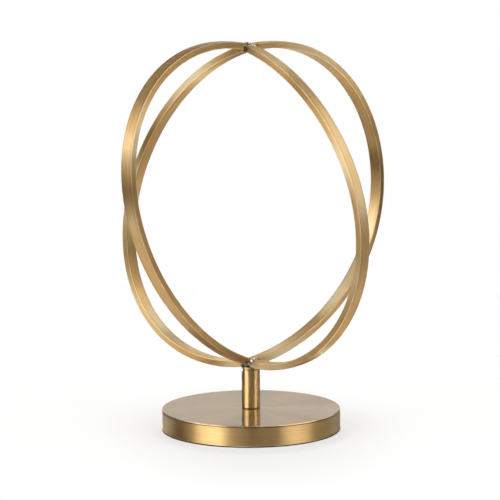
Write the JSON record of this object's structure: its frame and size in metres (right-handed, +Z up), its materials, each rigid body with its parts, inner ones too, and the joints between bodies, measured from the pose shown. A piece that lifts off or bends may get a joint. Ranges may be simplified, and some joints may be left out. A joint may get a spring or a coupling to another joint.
{
  "type": "ring sculpture",
  "caption": "Tabletop ring sculpture: flat brass-finished bars bent into half ovals, welded at two poles into crossing rings, on a short post and a weighted round base.",
  "frame": {"origin": "on the floor plane, on the axis of the base and the post", "axes": "+Z up along the post, -Y the front that the picture looks at, +X to the right; the bars stand at 45 degrees to X and Y in plan"},
  "size_m": [0.2803, 0.2803, 0.3869],
  "materials": {
    "brushed_brass": "antique brass, satin brushed along the bar, edges eased and a little brighter",
    "polished_brass": "antique brass, finely polished along the post",
    "turned_brass": "antique brass, rim brushed round its edge, top face fine satin with soft cloudy marks",
    "weld_metal": "bare rippled weld bead, silvery with dark oxide in the hollows",
    "zinc_steel": "bright zinc plate",
    "cast_iron": "rough casting, thin black paint",
    "black_steel": "thin satin black paint",
    "felt": "dense black wool felt"
  },
  "bodies": {
    "root": {"arc_front_left": "brushed_brass", "arc_rear_left": "brushed_brass", "arc_front_right": "brushed_brass", "arc_rear_right": "brushed_brass", "top_weld": "weld_metal", "bottom_weld": "weld_metal", "post_cap": "polished_brass", "post_tube": "polished_brass", "post_foot_bush": "zinc_steel", "threaded_rod": "zinc_steel", "base_shell": "turned_brass", "ballast_weight": "cast_iron", "flat_washer": "zinc_steel", "spring_washer": "zinc_steel", "rod_nut": "zinc_steel", "bottom_plate": "black_steel", "plate_screw_1": "zinc_steel", "plate_screw_2": "zinc_steel", "plate_screw_3": "zinc_steel", "felt_pad": "felt"}
  },
  "joints": []
}
